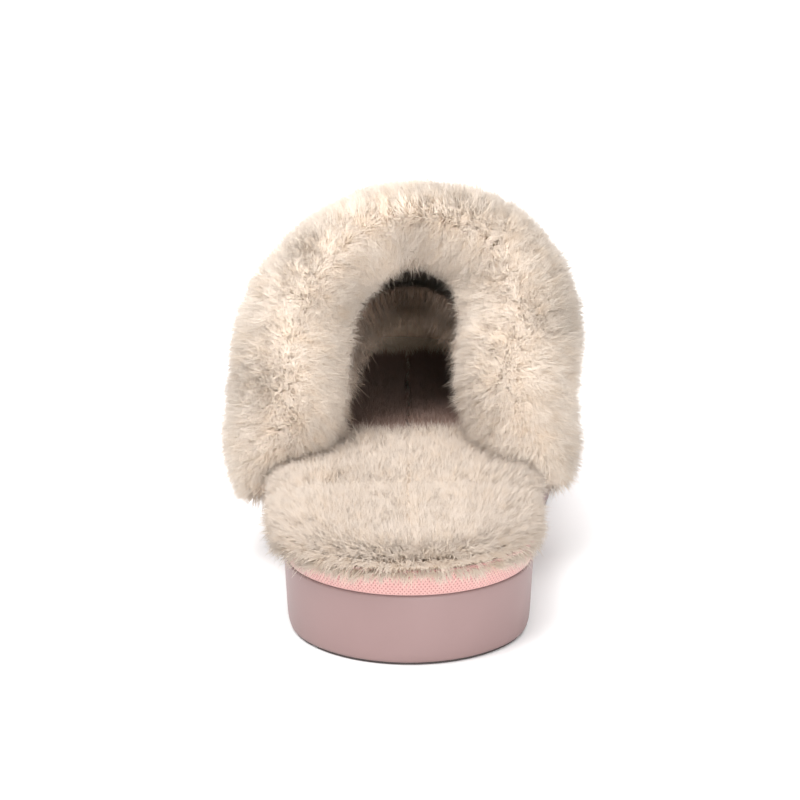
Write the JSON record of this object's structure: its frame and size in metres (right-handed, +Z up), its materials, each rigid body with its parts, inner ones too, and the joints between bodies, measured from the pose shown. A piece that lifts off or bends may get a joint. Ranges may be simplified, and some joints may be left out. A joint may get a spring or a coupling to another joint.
{
  "type": "plush mule slipper",
  "caption": "Backless plush house slipper with a fluffy arched collar, a suede vamp, a plush footbed and a flat foam platform sole.",
  "frame": {"origin": "on the floor under the middle of the sole", "axes": "+Y from heel to toe, +X towards the outer side of a right foot, +Z up"},
  "size_m": [0.122, 0.267, 0.1191],
  "materials": {
    "sole_rubber": "dark matt rubber with a grooved tread",
    "midsole_foam": "smooth moulded dusty-pink foam",
    "webbing": "pink twill tape",
    "plush": "cream long-pile faux fur",
    "suede": "dusty-pink suede",
    "interlining": "white woven backing cloth and tape",
    "stiffener": "thermoplastic stiffener sheet",
    "fibre_board": "brown cellulose insole board",
    "cushion_foam": "open-cell cushion foam"
  },
  "bodies": {
    "root": {"outsole": "sole_rubber", "midsole": "midsole_foam", "sole_webbing": "webbing", "bottom_filler": "cushion_foam", "insole_board": "fibre_board", "footbed_foam": "cushion_foam", "footbed_plush": "plush", "vamp_suede": "suede", "vamp_interlining": "interlining", "toe_puff": "stiffener", "throat_stay_tape": "interlining", "vamp_lining": "plush", "cuff_foam": "cushion_foam", "cuff_plush": "plush"}
  },
  "joints": []
}
